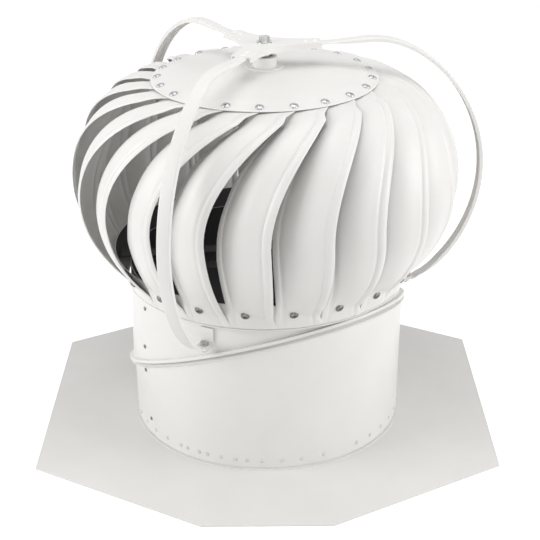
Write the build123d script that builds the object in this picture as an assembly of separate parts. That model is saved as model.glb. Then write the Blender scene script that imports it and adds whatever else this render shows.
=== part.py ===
from build123d import *
import os
from math import atan2, cos, hypot, pi, radians, remainder, sin, sqrt, tan

# Roof turbine ventilator on a swivelling throat, millimetres, +Z up.  The origin is the centre of the throat
# on the roof surface.  Azimuth 0 faces -Y and grows towards +X.

# ---- driving dimensions ----------------------------------------------------------------------------------
sheet = 0.8                      # collars, turbine ring and cap
vane_sheet = 0.6
fit = 0.3                        # side clearance between pieces that slip over each other

throat_bore = 304.8              # inside of the lower collar, twelve inches
roof_opening_margin = 0.6        # flashing neck inside the lower collar

flashing_width = 508.0           # across the side flats
flashing_depth = 508.0           # across the front and rear flats
flashing_front_flat = 137.0      # length of the front and rear flats
flashing_corner_angle = 30.0     # slope of the long corner cuts
flashing_sheet = 1.0
flashing_hem = 9.0               # width of the folded edge
neck_height = 15.0
collar_skirt = 18.0              # upright part of the lower collar, above the plate
neck_root = 1.5                  # inside bend between the neck and its lip
neck_lip = 4.0                   # the lip's reach on the plate, past the neck

swivel_height = 104.8            # where the swivel axis meets the throat axis
swivel_tilt = 22.5               # tilt of the joint plane, half of the largest pitch
swivel_azimuth = 35.5            # the side where the joint stands highest
swivel_radius = 158.0            # both collars at the joint, in the joint plane
seam_reach = 5.0                 # how far the rolled seam stands out
seam_clearance = 0.4             # running gap inside the rolled seam
seam_return = 1.0                # gap between the seam's lower lip and the lower collar
bead_gap = 2.6                   # from the seam down to the stiffening bead
bead_height = 5.0
collar_top = 192.0               # upper rim of the upper collar

brace_count = 3
brace_azimuth = -23.5
brace_width = 19.0
brace_sheet = 1.2
brace_flange = 4.5
brace_crest_radius = 125.0
brace_crest_rise = 2.0           # crest above the hub plate
brace_shoulder_radius = 206.0
brace_shoulder_height = 390.0
brace_belly_radius = 245.0
brace_belly_height = 285.0
brace_waist_radius = 222.0
brace_waist_height = 200.0
brace_heel_radius = 177.0
brace_heel_rise = 3.0            # heel above the underside of the bracket
brace_start = 6.0                # where the curve begins, past the tip of the hub arm
brace_stations = 26
brace_foot_bend = 6.0            # from the heel to the flat foot
foot_room = 3.5                  # from the collar to the end of a brace
bracket_height = 153.0           # underside of the bracket shelf
bracket_sheet = 1.5
bracket_width = 14.0
bracket_leg = 18.0
bracket_shelf = 15.5
bolt_radius_at = 163.0           # bracket bolts, from the throat axis
bolt_diameter = 5.0
bolt_head_across = 8.0
bolt_head_height = 3.2
bolt_spare = 2.0                 # thread past the nut

hub_top = 436.0
hub_skirt = 6.0
hub_sheet = 1.2
hub_reach = 60.0                 # tip of each arm
hub_lap = 22.0                   # brace end under a hub arm
hub_mouth = 8.0                  # notch in the skirt at the tip of an arm
hub_throat_radius = 70.0         # rounded edge between arms

brace_rivet_inset = 6.0          # from the tip of a hub arm
brace_rivet_pitch = 10.0

spindle_diameter = 8.0
spindle_neck_diameter = 6.0      # threaded ends, past the shoulders
nut_across = 10.0
nut_height = 5.5
washer_diameter = 16.5
washer_thickness = 1.2

bearing_outer = 24.0
bearing_bore_ring = 13.0         # outside of the inner ring
bearing_height = 9.0
housing_wall = 1.2
housing_flange = 20.0            # radius of the housing's flange
housing_lip = 3.0                # of the housing, over the bearing
collar_ring_diameter = 13.0
collar_ring_height = 6.0
spacer_diameter = 12.0

cap_rim_radius = 122.0
cap_rim_height = 397.8           # underside at the rim
cap_slope_angle = 17.0
cap_band = 16.0                  # width of the sloping rim band
cap_crown_radius = 30.0          # flat centre
cap_crown_height = 409.0
cap_hole = 18.0
cap_crown_rise = 2.0             # how far the dome stands over a straight line from crown to band

ring_low_radius = 156.4
ring_low_height = 174.0
ring_top_height = 209.0
ring_flare_angle = 21.0          # lean of the ring from upright
ring_hem = 1.4
ring_hem_root = 2.0

vane_count = 21
vane_azimuth = 14.7              # rivet of the first vane at the cap
vane_lap_top_angle = 4.5         # by which one tab passes under the next
vane_lap_foot_angle = 0.9
vane_tab = 13.0                  # length of the tab under the cap
vane_tab_drop = 2.2              # step down of the tab's covered edge
vane_tab_inset = 1.0
vane_rim_angle = -0.6            # free edge from its rivet, at the rim
vane_crease_angle = 1.2          # free edge back towards the rivet, at the crease and at the foot
vane_foot_angle = 3.0
ring_rivet_lift = 1.4            # bulge of the vane's foot under its rivet
vane_sweep_angle = 30.6          # how far the free edge falls back below the cap
vane_inner_sweep_angle = 25.6
vane_belly_radius = 212.0
vane_belly_height = 288.0
vane_inner_belly_radius = 188.5
vane_inner_belly_height = 285.0
vane_waist_height = 240.0
vane_inner_waist_height = 245.0
vane_crease_height = 190.0
vane_inner_crease_height = 206.0
vane_foot_height = 177.6
vane_crown = 5.0                 # bulge of the vane across its width
vane_groove = 1.0
vane_rib_width = 9.0
vane_hem_width = 6.5
vane_shoulder_steps = 6
vane_waist_steps = 4

rivet_diameter = 9.0
rivet_height = 2.2
rivet_sides = 10
rivet_crown = 0.56               # flat of a head, as a share of its diameter
rivet_seat = 0.15
cap_rivet_inset = 7.0            # from the cap's rim
ring_rivet_angle = -39.2         # from the vane's cap rivet
ring_rivet_height = 196.0
small_rivet_diameter = 4.6
small_rivet_height = 1.2
neck_rivet_height = 13.0
neck_rivet_azimuths = (-38.8, -35.3, -29.5, -25.6, -19.5, -13.3, -8.4, -2.3, 6.0, 14.1, 23.9, 40.5)
neck_rivet_rest = 33             # evenly over the rest of the way round
seam_azimuth = -58.5
lower_seam_rivets = (24.0, 88.0)
upper_seam_rivets = (117.0, 163.0)

spider_arm_width = 18.0
spider_sheet = 1.5
spider_hub_radius = 28.0
throat_spider_height = 180.0
rotor_spider_height = 200.0
spider_tab = 7.0
spider_hole_room = 1.5           # round the thrust collar
spider_arm_root = 4.0            # how far an arm runs under the hub's edge

# ---- sizes that follow ---------------------------------------------------------------------------------
bore_radius = throat_bore / 2
collar_radius = bore_radius + sheet
plate_top = 2 * flashing_sheet
neck_radius = bore_radius - roof_opening_margin / 2
lean = tan(radians(ring_flare_angle))
pitch = 360 / vane_count
hub_under = hub_top - hub_sheet
bead_low = -sheet - bead_gap - bead_height   # underside of the bead, along the swivel axis
channel_top = seam_clearance + sheet         # top of the rolled seam, along the swivel axis
spindle_radius = spindle_diameter / 2
spindle_neck_radius = spindle_neck_diameter / 2

tilt = radians(swivel_tilt)
up_slope = Vector(sin(radians(swivel_azimuth)), -cos(radians(swivel_azimuth)), 0)
level = Vector(cos(radians(swivel_azimuth)), sin(radians(swivel_azimuth)), 0)
swivel_axis = Vector(0, 0, cos(tilt)) - up_slope * sin(tilt)
swivel_centre = Vector(0, 0, swivel_height)


def polar(radius, azimuth, height):
    """The point at a radius and azimuth about the throat axis."""
    turn = radians(azimuth)
    return Vector(radius * sin(turn), -radius * cos(turn), height)


def turned(shape, azimuth):
    """A shape drawn towards +X, swung to an azimuth."""
    return Rotation(0, 0, azimuth - 90) * shape


def section(*outline):
    """A closed (radius, height) outline in the plane through the throat axis."""
    return Plane.XZ * make_face(Polyline(*outline, close=True))


def lathe(*outline):
    return revolve(section(*outline), Axis.Z)


def wide(profile, width):
    """A plate of a given width from a profile in the plane through the throat axis."""
    return Pos(0, width / 2, 0) * extrude(profile, width)


def tube(outer, inner, low, high):
    return lathe((inner, low), (outer, low), (outer, high), (inner, high))


def joint_plane(rise):
    """The swivel's plane, moved along the swivel axis."""
    return Plane(swivel_centre + swivel_axis * rise, x_dir=level, z_dir=swivel_axis)


def level_plane(height):
    return Plane((0, 0, height), x_dir=level, z_dir=(0, 0, 1))


def skin(low_plane, low_radius, high_plane, high_radius):
    """The straight-sided body between two circles that don't lie parallel."""
    circles = [low_plane * Circle(low_radius), high_plane * Circle(high_radius)]
    return loft(circles, ruled=True)


def joint_ring(*outline):
    """A ring turned about the swivel axis from its (radius, rise) outline."""
    frame = joint_plane(0)
    profile = Plane(frame.origin, x_dir=level, z_dir=level.cross(swivel_axis)) * make_face(
        Polyline(*outline, close=True))
    return revolve(profile, Axis(frame.origin, swivel_axis))


def cap_under(radius):
    """Height of the underside of the cap's sloping rim band."""
    return cap_rim_height + (cap_rim_radius - radius) * tan(radians(cap_slope_angle))


def ring_face(height):
    """Radius of the outside of the turbine ring."""
    return ring_low_radius + (height - ring_low_height) * lean


# ---- roof flashing and lower collar ----------------------------------------------------------------------
def flashing_outline(inset=0.0):
    half_width = flashing_width / 2
    half_depth = flashing_depth / 2
    flat = flashing_front_flat / 2
    side = half_depth - (half_width - flat) * tan(radians(flashing_corner_angle))
    corners = [(flat, -half_depth), (half_width, -side), (half_width, side), (flat, half_depth)]
    mirrored = [(-x, y) for x, y in reversed(corners)]
    outline = make_face(Polyline(*corners, *mirrored, close=True))
    return offset(outline, -inset, kind=Kind.INTERSECTION) if inset else outline


def flashing_plate():
    plate = extrude(flashing_outline(), plate_top)
    plate -= extrude(flashing_outline(flashing_hem), flashing_sheet)
    return plate - Cylinder(neck_radius, 3 * plate_top)


def neck_ring():
    """The ring of angle section on the plate that the lower collar is riveted to."""
    low = plate_top
    lip_top = low + flashing_sheet
    inner_radius = neck_radius - flashing_sheet
    centre = (neck_radius + neck_root, lip_top + neck_root)
    inner_bend = CenterArc(centre, neck_root, 180, 90)
    outer_bend = CenterArc(centre, neck_root + flashing_sheet, 180, 90)
    tip = neck_radius + neck_lip
    top = plate_top + neck_height
    lip = Polyline(inner_bend @ 1, (tip, lip_top), (tip, low), outer_bend @ 1)
    wall = Polyline(inner_bend @ 0, (neck_radius, top), (inner_radius, top), outer_bend @ 0)
    return revolve(Plane.XZ * make_face(Curve() + [inner_bend, outer_bend, lip, wall]), Axis.Z)


def lower_collar():
    foot = plate_top + flashing_sheet + neck_root + fit
    skirt = level_plane(plate_top + collar_skirt)
    low_plane = joint_plane(bead_low)
    body = skin(skirt, collar_radius, low_plane, swivel_radius)
    body -= skin(skirt, bore_radius, low_plane, swivel_radius - sheet)
    body += tube(collar_radius, bore_radius, foot, plate_top + collar_skirt)
    inner = swivel_radius - sheet
    crest = swivel_radius + seam_reach - sheet - seam_clearance
    middle = bead_low + bead_height / 2
    seam = joint_ring(
        (inner, bead_low), (swivel_radius, bead_low), (crest, middle), (swivel_radius, bead_low + bead_height),
        (swivel_radius, -sheet), (crest, -sheet), (crest, 0), (inner, 0))
    return body + seam


# ---- upper collar, brackets, braces ----------------------------------------------------------------------
def upper_collar():
    low_plane = joint_plane(channel_top)
    rim = level_plane(collar_top)
    body = skin(low_plane, swivel_radius, rim, collar_radius)
    body -= skin(low_plane, swivel_radius - sheet, rim, bore_radius)
    inner = swivel_radius - sheet
    outer = swivel_radius + seam_reach
    lip = -sheet - seam_clearance
    lip_edge = swivel_radius + seam_return + seam_clearance
    seam = joint_ring(
        (inner, seam_clearance), (outer - sheet, seam_clearance), (outer - sheet, lip), (lip_edge, lip),
        (lip_edge, lip - sheet), (outer, lip - sheet), (outer, channel_top), (inner, channel_top))
    return body + seam


def wall_radius(level_height, rise, azimuth, height):
    """Outside radius of a collar that runs from its level circle to its circle at the joint."""
    rim = level_plane(level_height)
    joint = joint_plane(rise)
    turn = radians(azimuth - swivel_azimuth) - pi / 2
    for _ in range(6):
        near = rim.from_local_coords((collar_radius * cos(turn), collar_radius * sin(turn), 0))
        far = joint.from_local_coords((swivel_radius * cos(turn), swivel_radius * sin(turn), 0))
        point = near + (far - near) * ((height - near.Z) / (far.Z - near.Z))
        turn += remainder(radians(azimuth) - atan2(point.X, -point.Y), 2 * pi)
    return hypot(point.X, point.Y)


def collar_face(azimuth, height):
    return wall_radius(collar_top, channel_top, azimuth, height)


def lower_face(azimuth, height):
    if height < plate_top + collar_skirt:
        return collar_radius
    return wall_radius(plate_top + collar_skirt, bead_low, azimuth, height)


def brace_directions():
    return [brace_azimuth + 360 * k / brace_count for k in range(brace_count)]


def bracket(azimuth):
    """An angle bracket with its upright leg on the collar and its shelf over the end of a brace."""
    low = bracket_height
    high = low + bracket_leg
    wall = fit + max(collar_face(azimuth + side, height) * cos(radians(side))
                     for side in (-2, 0, 2) for height in (low, high))
    inside = wall + bracket_sheet
    profile = section(
        (wall, low), (wall + bracket_shelf, low), (wall + bracket_shelf, low + bracket_sheet),
        (inside, low + bracket_sheet), (inside, high), (wall, high))
    solid = wide(profile, bracket_width)
    solid -= Pos(bolt_radius_at, 0, low) * Cylinder(bolt_diameter / 2 + fit / 2, 4 * bracket_sheet)
    return turned(solid, azimuth)


def brace_side_curve():
    """Outside of a brace in its own plane, from the hub to the heel."""
    return Spline(
        (hub_reach + brace_start, hub_under),
        (brace_crest_radius, hub_top + brace_crest_rise),
        (brace_shoulder_radius, brace_shoulder_height),
        (brace_belly_radius, brace_belly_height),
        (brace_waist_radius, brace_waist_height),
        (brace_heel_radius, bracket_height + brace_heel_rise),
        tangents=((1, 0.02), (-1, -0.45)))


def strip(points, depth):
    """The band between a chain of points and its offset towards the inside of the brace."""
    legs = [(end - start).normalized() for start, end in zip(points, points[1:])]
    inner = []
    for k, point in enumerate(points):
        ahead = legs[min(k, len(legs) - 1)]
        behind = legs[max(k - 1, 0)]
        heading = (ahead + behind).normalized()
        inner.append(point + Vector(heading.Y, -heading.X) * (depth / heading.dot(ahead)))
    return section(*[(point.X, point.Y) for point in points + inner[::-1]])


def brace_strap(azimuth):
    """A channel bent to the brace's curve, with a flat lap under the hub and a flat foot."""
    curve = brace_side_curve()
    arch = [curve @ (k / brace_stations) for k in range(brace_stations + 1)]
    under = bracket_height - brace_sheet
    root = Vector(hub_reach - hub_lap, arch[0].Y)
    foot = [Vector(brace_heel_radius - brace_foot_bend, under), Vector(collar_radius + foot_room, under)]
    strap = wide(strip([root] + arch + foot, brace_sheet), brace_width)
    side = (brace_width - brace_sheet) / 2
    for offset_across in (-side, side):
        strap += Pos(0, offset_across, 0) * wide(strip(arch, brace_flange), brace_sheet)
    strap -= Pos(bolt_radius_at, 0, under) * Cylinder(bolt_diameter / 2 + fit / 2, 4 * brace_sheet)
    return turned(strap, azimuth)


def bracket_bolt(azimuth):
    """Hexagon bolt, head on the bracket's shelf."""
    seat = bracket_height + bracket_sheet
    length = bracket_sheet + brace_sheet + bolt_head_height + bolt_spare
    bolt = extrude(Plane.XY * RegularPolygon(bolt_head_across / 2, 6, major_radius=False), bolt_head_height)
    bolt += extrude(Plane.XY * Circle(bolt_diameter / 2), -length)
    return turned(Pos(bolt_radius_at, 0, seat) * bolt, azimuth)


def bracket_nut(azimuth):
    nut = extrude(RegularPolygon(bolt_head_across / 2, 6, major_radius=False), -bolt_head_height)
    nut -= Cylinder(bolt_diameter / 2 + fit / 4, 3 * bolt_head_height)
    return turned(Pos(bolt_radius_at, 0, bracket_height - brace_sheet) * nut, azimuth)


def hub_star(inset=0.0):
    """The three-armed outline of the hub plate."""
    arm_width = brace_width + 2 * (hub_sheet + fit) - 2 * inset
    star = Sketch()
    for azimuth in brace_directions():
        arm = Pos((hub_reach - inset) / 2, 0) * Rectangle(hub_reach - inset, arm_width)
        star += Rotation(0, 0, azimuth - 90) * arm
    corners = star.vertices().sort_by(lambda v: hypot(v.X, v.Y))[:brace_count]
    return fillet(corners, hub_throat_radius + inset)


def hub_plate():
    plate = extrude(Pos(0, 0, hub_top) * hub_star(), -hub_skirt)
    plate -= extrude(Pos(0, 0, hub_under) * hub_star(hub_sheet), -hub_skirt)
    plate -= Pos(0, 0, hub_top) * Cylinder(spindle_neck_radius + fit / 2, 3 * hub_skirt)
    for azimuth in brace_directions():
        mouth = Pos(hub_reach, 0, hub_under - hub_skirt / 2) * Box(hub_mouth, brace_width + fit, hub_skirt)
        plate -= turned(mouth, azimuth)
    return plate


def brace_rivets():
    """Two rivets through each lap of hub arm and brace."""
    seats = []
    for azimuth in brace_directions():
        for step in (0, brace_rivet_pitch):
            radius = hub_reach - brace_rivet_inset - step
            seats.append(Plane(polar(radius, azimuth, hub_top), z_dir=(0, 0, 1)))
    return [rivet_head(seat, small_rivet_diameter + 1, small_rivet_height) for seat in seats]


# ---- spindle and bearings --------------------------------------------------------------------------------
upper_bearing_low = cap_crown_height + sheet + housing_wall
lower_bearing_low = rotor_spider_height + spider_sheet + housing_wall


def spindle():
    """A turned rod whose shoulders bear on the hub plate and on the throat's spider."""
    low_shoulder = throat_spider_height + spider_sheet
    low = throat_spider_height - nut_height - washer_thickness
    high = hub_top + washer_thickness + nut_height
    return lathe((0, low), (spindle_neck_radius, low), (spindle_neck_radius, low_shoulder),
                 (spindle_radius, low_shoulder), (spindle_radius, hub_under), (spindle_neck_radius, hub_under),
                 (spindle_neck_radius, high), (0, high))


def spindle_nut(low):
    nut = extrude(Pos(0, 0, low) * RegularPolygon(nut_across / 2, 6, major_radius=False), nut_height)
    return nut - Pos(0, 0, low) * Cylinder(spindle_neck_radius + fit / 4, 4 * nut_height)


def washer(low):
    return tube(washer_diameter / 2, spindle_neck_radius + fit / 4, low, low + washer_thickness)


def inner_ring(low):
    return tube(bearing_bore_ring / 2, spindle_radius + fit / 4, low, low + bearing_height)


def outer_ring(low):
    """Outer ring with its shields, a running gap from the inner ring."""
    return tube(bearing_outer / 2, bearing_bore_ring / 2 + fit, low, low + bearing_height)


def bearing_housing(low):
    """A drawn cup with its flange below and a lip over the bearing."""
    inner = bearing_outer / 2 + fit / 4
    outer = inner + housing_wall
    high = low + bearing_height + fit / 2
    return lathe(
        (inner, low - housing_wall), (housing_flange, low - housing_wall), (housing_flange, low), (outer, low),
        (outer, high + housing_wall), (inner - housing_lip, high + housing_wall), (inner - housing_lip, high),
        (inner, high))


def thrust_collar(high):
    """The ring on the spindle that carries a bearing."""
    return tube(collar_ring_diameter / 2, spindle_radius + fit / 4, high - collar_ring_height, high)


def upper_spacer():
    return tube(spacer_diameter / 2, spindle_radius + fit / 4,
                upper_bearing_low + bearing_height, hub_under)


def spider_arm(low, foot_wall, tip_wall):
    """One arm of a spider with its end turned up against the wall it is riveted to."""
    high = low + spider_tab
    foot, tip = [sqrt((wall - fit) ** 2 - (spider_arm_width / 2) ** 2) for wall in (foot_wall, tip_wall)]
    root = spider_hub_radius - spider_arm_root
    return wide(section(
        (root, low), (foot, low), (tip, high), (tip - spider_sheet, high),
        (foot - spider_sheet, low + spider_sheet), (root, low + spider_sheet)), spider_arm_width)


def spider(low, wall, bore):
    """Three arms from a drilled hub to a wall whose inside radius depends on azimuth and height."""
    solid = Pos(0, 0, low + spider_sheet / 2) * Cylinder(spider_hub_radius, spider_sheet)
    for brace in brace_directions():
        azimuth = brace + 180 / brace_count
        arm = spider_arm(low, wall(azimuth, low), wall(azimuth, low + spider_tab))
        solid += turned(arm, azimuth)
    return solid - Pos(0, 0, low) * Cylinder(bore, 4 * spider_sheet)


def throat_spider():
    def wall(azimuth, height):
        return collar_face(azimuth, height) - sheet - fit
    return spider(throat_spider_height, wall, spindle_neck_radius + fit / 2)


def rotor_spider():
    def wall(azimuth, height):
        return ring_face(height) - sheet / cos(radians(ring_flare_angle))
    return spider(rotor_spider_height, wall, collar_ring_diameter / 2 + spider_hole_room)


# ---- turbine head ----------------------------------------------------------------------------------------
def top_cap():
    """A shallow dome with a flat centre and a steeper rim band."""
    band_radius = cap_rim_radius - cap_band
    rise = sheet / cos(radians(cap_slope_angle))
    band_low = cap_under(band_radius)
    middle = ((cap_crown_radius + band_radius) / 2, (cap_crown_height + band_low) / 2 + cap_crown_rise)

    def line(lift, band_lift):
        crown = (cap_crown_radius, cap_crown_height + lift)
        band = (band_radius, band_low + band_lift)
        dome = ThreePointArc(crown, (middle[0], middle[1] + lift), band)
        return Curve() + [Line((cap_hole / 2, cap_crown_height + lift), crown), dome,
                          Line(band, (cap_rim_radius, cap_rim_height + band_lift))]

    hole_edge = Line((cap_hole / 2, cap_crown_height), (cap_hole / 2, cap_crown_height + sheet))
    rim_edge = Line((cap_rim_radius, cap_rim_height), (cap_rim_radius, cap_rim_height + rise))
    return revolve(Plane.XZ * make_face(line(0, 0) + line(sheet, rise) + [hole_edge, rim_edge]), Axis.Z)


def bottom_ring():
    """The flared band that carries the vanes, with its lower edge folded outwards."""
    across = sheet / cos(radians(ring_flare_angle))
    low = ring_low_height
    high = ring_top_height
    hem_top = low + ring_hem_root
    return lathe(
        (ring_face(low) - across, low), (ring_face(low) + ring_hem, low),
        (ring_face(low + ring_hem) + ring_hem, low + ring_hem), (ring_face(hem_top), hem_top),
        (ring_face(high), high), (ring_face(high) - across, high))


def shoulder(share, rim, belly):
    """A point on the quarter ellipse from the cap's rim to the belly; each end is (turn, radius, height)."""
    angle = radians(90 * share)
    turn = rim[0] + (belly[0] - rim[0]) * sin(angle)
    radius = rim[1] + (belly[1] - rim[1]) * sin(angle)
    height = belly[2] + (rim[2] - belly[2]) * cos(angle)
    return turn, radius, height


def waist(share, belly, bend_height, crease):
    """A point on the curve that leaves the belly upright and draws in to the crease."""
    first = (1 - share) ** 2
    second = 2 * share * (1 - share)
    third = share ** 2
    turn = belly[0] + (crease[0] - belly[0]) * share
    radius = (first + second) * belly[1] + third * crease[1]
    height = first * belly[2] + second * bend_height + third * crease[2]
    return turn, radius, height


def vane_edge(rim, belly, bend_height, crease, foot):
    """An edge of the vane from the tab under the cap to its foot."""
    tab_radius = rim[1] - vane_tab
    points = [(rim[0] * 0.85 + 1.5, tab_radius, rim[2] + vane_tab * tan(radians(cap_slope_angle)))]
    for k in range(vane_shoulder_steps + 1):
        points.append(shoulder(k / vane_shoulder_steps, rim, belly))
    for k in range(1, vane_waist_steps + 1):
        points.append(waist(k / vane_waist_steps, belly, bend_height, crease))
    points.append(foot)
    return [polar(radius, turn, height) for turn, radius, height in points]


def free_edge():
    lift = fit + vane_sheet + fit
    rim = (vane_rim_angle, cap_rim_radius, cap_rim_height - fit)
    belly = (-vane_sweep_angle, vane_belly_radius, vane_belly_height)
    crease_turn = vane_crease_angle - vane_sweep_angle
    foot_turn = vane_foot_angle - vane_sweep_angle
    crease = (crease_turn, ring_face(vane_crease_height) + lift + vane_sheet, vane_crease_height)
    foot = (foot_turn, ring_face(vane_foot_height) + lift + vane_sheet, vane_foot_height)
    return vane_edge(rim, belly, vane_waist_height, crease, foot)


def inner_edge():
    turn = -pitch - vane_lap_top_angle
    rim = (turn, cap_rim_radius - vane_tab_inset, cap_rim_height - fit - vane_tab_drop)
    belly = (turn - vane_inner_sweep_angle, vane_inner_belly_radius, vane_inner_belly_height)
    foot_turn = vane_foot_angle - vane_sweep_angle - pitch - vane_lap_foot_angle
    crease_radius = ring_face(vane_inner_crease_height) + fit + vane_sheet
    crease = (foot_turn, crease_radius, vane_inner_crease_height)
    foot = (foot_turn, ring_face(vane_foot_height) + fit + vane_sheet, vane_foot_height)
    return vane_edge(rim, belly, vane_inner_waist_height, crease, foot)


def vane_section(inner, outer, forward, crown, groove):
    """The closed outline of the sheet between two edge points; its outside bulges by the crown."""
    width = (outer - inner).length
    across = (outer - inner) / width
    out = forward.cross(across).normalized()
    stations = [0, vane_hem_width, 0.42 * width, 0.7 * width, width - vane_rib_width, width]
    dips = [0, groove, 0, 0, groove, 0]
    face = []
    for reach, dip in zip(stations, dips):
        share = reach / width
        face.append(inner + across * reach + out * (4 * crown * share * (1 - share) - dip))
    back = [point - out * vane_sheet for point in reversed(face)]
    return Wire(Polyline(*face, *back, close=True))


def vane():
    """One vane, its cap rivet at azimuth 0."""
    inner = inner_edge()
    outer = free_edge()
    last = len(inner) - 1
    wires = []
    for k in range(last + 1):
        before = max(k - 1, 0)
        after = min(k + 1, last)
        forward = (inner[after] + outer[after]) - (inner[before] + outer[before])
        width = (outer[k] - inner[k]).length
        body = min(max((k - 1) / (last - 2), 0), 1)
        wrap = width ** 2 / (8 * ring_low_radius) * body
        formed = sin(radians(180 * body)) ** 0.6
        crown = wrap + vane_crown * formed
        wires.append(vane_section(inner[k], outer[k], forward, crown, vane_groove * formed))
    return Solid.make_loft(wires, ruled=True)


def rivet_head(seat, diameter, height):
    """A domed head on a seat plane."""
    low = seat * RegularPolygon(diameter / 2, rivet_sides)
    high = seat.offset(height) * RegularPolygon(diameter / 2 * rivet_crown, rivet_sides)
    return loft([low, high], ruled=True)


def cap_rivets():
    slope = radians(cap_slope_angle)
    radius = cap_rim_radius - cap_rivet_inset
    height = cap_under(radius) + sheet / cos(slope) + rivet_seat / 2
    heads = []
    for k in range(vane_count):
        azimuth = vane_azimuth + k * pitch
        seat = Plane(polar(radius, azimuth, height), z_dir=polar(sin(slope), azimuth, cos(slope)))
        heads.append(rivet_head(seat, rivet_diameter, rivet_height))
    return heads


def ring_rivets():
    slope = radians(ring_flare_angle)
    lift = fit + vane_sheet + ring_rivet_lift
    heads = []
    for k in range(vane_count):
        azimuth = vane_azimuth + ring_rivet_angle + k * pitch
        seat = polar(ring_face(ring_rivet_height) + lift, azimuth, ring_rivet_height)
        heads.append(rivet_head(
            Plane(seat, z_dir=polar(cos(slope), azimuth, -sin(slope))), rivet_diameter, rivet_height))
    return heads


def collar_rivets(azimuth, heights, reach):
    heads = []
    for height in heights:
        radius = reach(azimuth, height) + rivet_seat
        seat = Plane(polar(radius, azimuth, height), z_dir=polar(1, azimuth, 0))
        heads.append(rivet_head(seat, small_rivet_diameter, small_rivet_height))
    return heads


def neck_rivets():
    gap = 360 + neck_rivet_azimuths[0] - neck_rivet_azimuths[-1]
    rest = [neck_rivet_azimuths[-1] + gap * k / (neck_rivet_rest + 1) for k in range(1, neck_rivet_rest + 1)]
    heads = []
    for azimuth in list(neck_rivet_azimuths) + rest:
        heads += collar_rivets(azimuth, [neck_rivet_height], lower_face)
    return heads


# ---- write every sub-part --------------------------------------------------------------------------------
parts = {
    "flashing_plate": flashing_plate(),
    "neck_ring": neck_ring(),
    "lower_collar": lower_collar(),
    "neck_rivets": neck_rivets(),
    "lower_seam_rivets": collar_rivets(seam_azimuth, lower_seam_rivets, lower_face),
    "upper_collar": upper_collar(),
    "upper_seam_rivets": collar_rivets(seam_azimuth, upper_seam_rivets, collar_face),
    "bracket_bolts": [bracket_bolt(azimuth) for azimuth in brace_directions()],
    "bracket_nuts": [bracket_nut(azimuth) for azimuth in brace_directions()],
    "hub_plate": hub_plate(),
    "brace_rivets": brace_rivets(),
    "spindle": spindle(),
    "spindle_top_nut": spindle_nut(hub_top + washer_thickness),
    "spindle_top_washer": washer(hub_top),
    "spindle_lower_nut": spindle_nut(throat_spider_height - washer_thickness - nut_height),
    "spindle_lower_washer": washer(throat_spider_height - washer_thickness),
    "upper_spacer": upper_spacer(),
    "throat_spider": throat_spider(),
    "upper_thrust_collar": thrust_collar(upper_bearing_low),
    "upper_bearing_inner_ring": inner_ring(upper_bearing_low),
    "lower_thrust_collar": thrust_collar(lower_bearing_low),
    "lower_bearing_inner_ring": inner_ring(lower_bearing_low),
    "top_cap": top_cap(),
    "bottom_ring": bottom_ring(),
    "cap_rivets": cap_rivets(),
    "ring_rivets": ring_rivets(),
    "upper_bearing_housing": bearing_housing(upper_bearing_low),
    "upper_bearing_outer_ring": outer_ring(upper_bearing_low),
    "lower_bearing_housing": bearing_housing(lower_bearing_low),
    "lower_bearing_outer_ring": outer_ring(lower_bearing_low),
    "rotor_spider": rotor_spider(),
}
for number, azimuth in enumerate(brace_directions(), start=1):
    parts[f"brace_bracket_{number}"] = bracket(azimuth)
    parts[f"brace_strap_{number}"] = brace_strap(azimuth)
pattern_vane = vane()
for number in range(vane_count):
    parts[f"vane_{number + 1:02d}"] = Rotation(0, 0, vane_azimuth + number * pitch) * pattern_vane

os.makedirs("parts", exist_ok=True)
for name, shape in parts.items():
    solids = shape if isinstance(shape, list) else [shape]
    export_step(Compound([solid for item in solids for solid in item.solids()]), f"parts/{name}.step")
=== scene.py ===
import math
import random

import bpy
import numpy as np
from mathutils import Matrix, Vector


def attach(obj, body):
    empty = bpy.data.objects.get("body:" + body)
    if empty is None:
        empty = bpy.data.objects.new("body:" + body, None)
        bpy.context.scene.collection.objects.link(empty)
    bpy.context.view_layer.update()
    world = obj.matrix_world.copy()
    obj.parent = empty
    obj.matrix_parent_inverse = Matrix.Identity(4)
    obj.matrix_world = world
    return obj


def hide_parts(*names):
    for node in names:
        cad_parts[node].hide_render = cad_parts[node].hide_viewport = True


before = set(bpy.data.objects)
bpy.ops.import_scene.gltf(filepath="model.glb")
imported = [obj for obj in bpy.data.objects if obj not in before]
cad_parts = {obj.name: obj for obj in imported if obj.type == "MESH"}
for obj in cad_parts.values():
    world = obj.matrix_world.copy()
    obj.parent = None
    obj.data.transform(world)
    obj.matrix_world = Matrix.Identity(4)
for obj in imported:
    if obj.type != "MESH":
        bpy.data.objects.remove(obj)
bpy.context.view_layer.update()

random.seed(21)
MM = 0.001

# ---- sizes in millimetres, the same as the frame's -------------------------------------------------------
SHEET = 0.8
VANE_SHEET = 0.6
FIT = 0.3
PLATE_TOP = 2.0
BORE_RADIUS = 152.4
COLLAR_RADIUS = BORE_RADIUS + SHEET
COLLAR_SKIRT = 18.0
COLLAR_TOP = 192.0
SWIVEL_HEIGHT = 104.8
SWIVEL_TILT = 22.5
SWIVEL_AZIMUTH = 35.5
SWIVEL_RADIUS = 158.0
CHANNEL_TOP = 1.2                # top of the rolled seam, along the swivel axis
BEAD_LOW = -8.4                  # underside of the bead, along the swivel axis

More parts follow.
